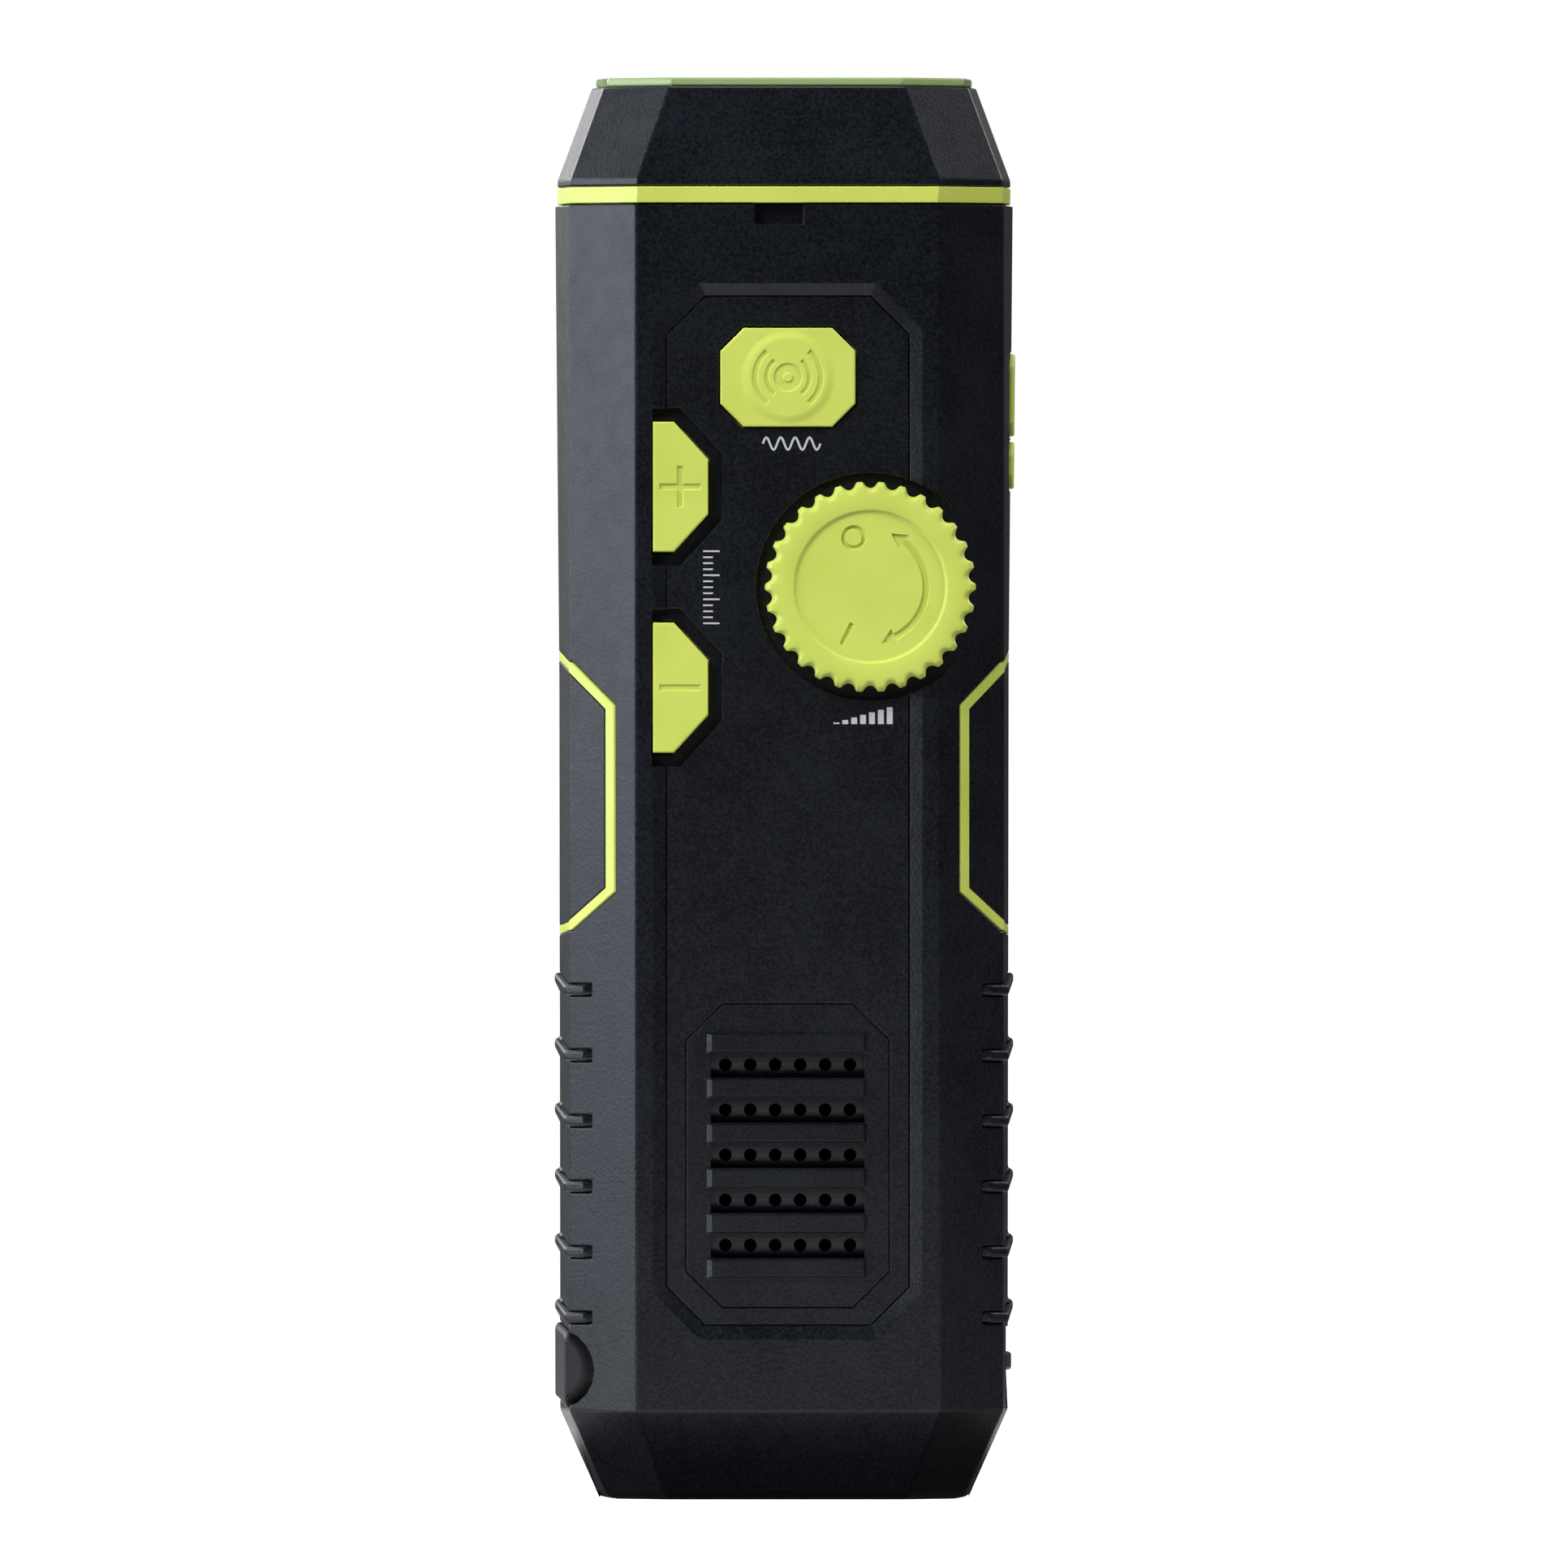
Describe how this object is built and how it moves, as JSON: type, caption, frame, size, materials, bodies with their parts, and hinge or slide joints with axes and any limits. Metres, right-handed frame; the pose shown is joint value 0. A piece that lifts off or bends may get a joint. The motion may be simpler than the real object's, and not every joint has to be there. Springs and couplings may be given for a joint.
{
  "type": "portable radio",
  "caption": "Hand-held emergency radio with a torch lens on top, siren, tuning and volume controls, a speaker grille and a fold-away dynamo crank on its back.",
  "frame": {"origin": "centre of the flat base, on the parting plane of the two shells", "axes": "+Z from the base up to the torch lens, -Y out of the control panel, +Y out of the back"},
  "size_m": [0.0562, 0.0482, 0.1729],
  "materials": {
    "black_plastic": "fine spark-eroded grain",
    "lime_plastic": "satin",
    "rubber": "matt",
    "lens": "clear green, polished",
    "mirror_coat": "vacuum-metallised",
    "circuit_board": "solder mask",
    "led_body": "clear",
    "switch_plastic": "moulded",
    "nylon": "natural",
    "steel": "zinc plated",
    "brass": "turned",
    "paper_cone": "matt",
    "cell_wrap": "shrink wrap",
    "ferrite": "sintered",
    "copper": "enamelled wire",
    "white_print": "pad-printed ink"
  },
  "bodies": {
    "housing": {"front_shell": "black_plastic", "rear_shell": "black_plastic", "control_panel": "black_plastic", "speaker_grille": "black_plastic", "accent_ring": "lime_plastic", "head_bezel": "black_plastic", "head_lens": "lens", "lens_gasket": "rubber", "reflector": "mirror_coat", "led_board": "circuit_board", "torch_led": "led_body", "volume_pot": "switch_plastic", "siren_switch": "switch_plastic", "tuning_up_switch": "switch_plastic", "tuning_down_switch": "switch_plastic", "main_board": "circuit_board", "side_trim_left": "lime_plastic", "side_trim_right": "lime_plastic", "side_pad_left": "black_plastic", "side_pad_right": "black_plastic", "grip_left": "black_plastic", "grip_right": "black_plastic", "port_cover_anchor": "rubber", "usb_socket": "steel", "strap_bar": "black_plastic", "torch_switch": "switch_plastic", "flash_switch": "switch_plastic", "side_board": "circuit_board", "speaker_frame": "steel", "speaker_cone": "paper_cone", "speaker_magnet": "steel", "battery_pack": "cell_wrap", "ferrite_rod": "ferrite", "aerial_coil": "copper", "gearbox_plate": "steel", "dynamo_can": "steel", "idler_axle": "steel", "crank_bush": "brass", "rear_screw_1": "steel", "rear_screw_2": "steel", "rear_screw_3": "steel", "rear_screw_4": "steel"},
    "siren_key": {"siren_button": "lime_plastic"},
    "tuning_up_key": {"tuning_up_button": "lime_plastic"},
    "tuning_down_key": {"tuning_down_button": "lime_plastic"},
    "torch_key": {"torch_button": "lime_plastic"},
    "flash_key": {"flash_button": "lime_plastic"},
    "volume_control": {"volume_knob": "lime_plastic", "pot_shaft": "brass"},
    "port_lid": {"port_cover": "rubber"},
    "crank": {"crank_arm": "black_plastic", "crank_shaft": "steel", "crank_gear": "nylon", "crank_screw": "steel", "knob_hinge_pin": "steel"},
    "knob_fork": {"knob_bracket": "steel"},
    "finger_knob": {"crank_knob": "lime_plastic"},
    "idler": {"idler_gear": "nylon"},
    "rotor": {"dynamo_rotor": "brass"}
  },
  "joints": [
    {"name": "siren_press", "type": "slide", "parent": "housing", "child": "siren_key", "axis": [0, 1, 0], "range_m": [0, 0.0008], "stiffness_N_per_m": 400, "springref_m": -0.0006},
    {"name": "tuning_up_press", "type": "slide", "parent": "housing", "child": "tuning_up_key", "axis": [0, 1, 0], "range_m": [0, 0.0008], "stiffness_N_per_m": 400, "springref_m": -0.0006},
    {"name": "tuning_down_press", "type": "slide", "parent": "housing", "child": "tuning_down_key", "axis": [0, 1, 0], "range_m": [0, 0.0008], "stiffness_N_per_m": 400, "springref_m": -0.0006},
    {"name": "torch_press", "type": "slide", "parent": "housing", "child": "torch_key", "axis": [-1, 0, 0], "range_m": [0, 0.0007], "stiffness_N_per_m": 400, "springref_m": -0.0006},
    {"name": "flash_press", "type": "slide", "parent": "housing", "child": "flash_key", "axis": [-1, 0, 0], "range_m": [0, 0.0007], "stiffness_N_per_m": 400, "springref_m": -0.0006},
    {"name": "volume_turn", "type": "hinge", "parent": "housing", "child": "volume_control", "pos_m": [0.01, -0.022, 0.11095], "axis": [0, 1, 0], "range_deg": [0, 280]},
    {"name": "port_cover_open", "type": "hinge", "parent": "housing", "child": "port_lid", "pos_m": [-0.0275, 0.00695, 0.0173], "axis": [0, 0, -1], "range_deg": [0, 115]},
    {"name": "crank_spin", "type": "hinge", "parent": "housing", "child": "crank", "pos_m": [0, 0.019, 0.104], "axis": [0, 1, 0], "continuous": true},
    {"name": "knob_fold", "type": "hinge", "parent": "crank", "child": "knob_fork", "pos_m": [0, 0.019, 0.075], "axis": [-1, 0, 0], "range_deg": [0, 90]},
    {"name": "knob_spin", "type": "hinge", "parent": "knob_fork", "child": "finger_knob", "pos_m": [0, 0.019, 0.087], "axis": [0, 0, 1], "continuous": true},
    {"name": "idler_spin", "type": "hinge", "parent": "housing", "child": "idler", "pos_m": [0.00802, 0.006, 0.12768], "axis": [0, 1, 0], "continuous": true},
    {"name": "rotor_spin", "type": "hinge", "parent": "housing", "child": "rotor", "pos_m": [-0.00759, 0, 0.13166], "axis": [0, 1, 0], "continuous": true}
  ],
  "couplings": [
    {"joint": "idler_spin", "follows": "crank_spin", "ratio": -3.1667},
    {"joint": "rotor_spin", "follows": "crank_spin", "ratio": 8.9722}
  ]
}
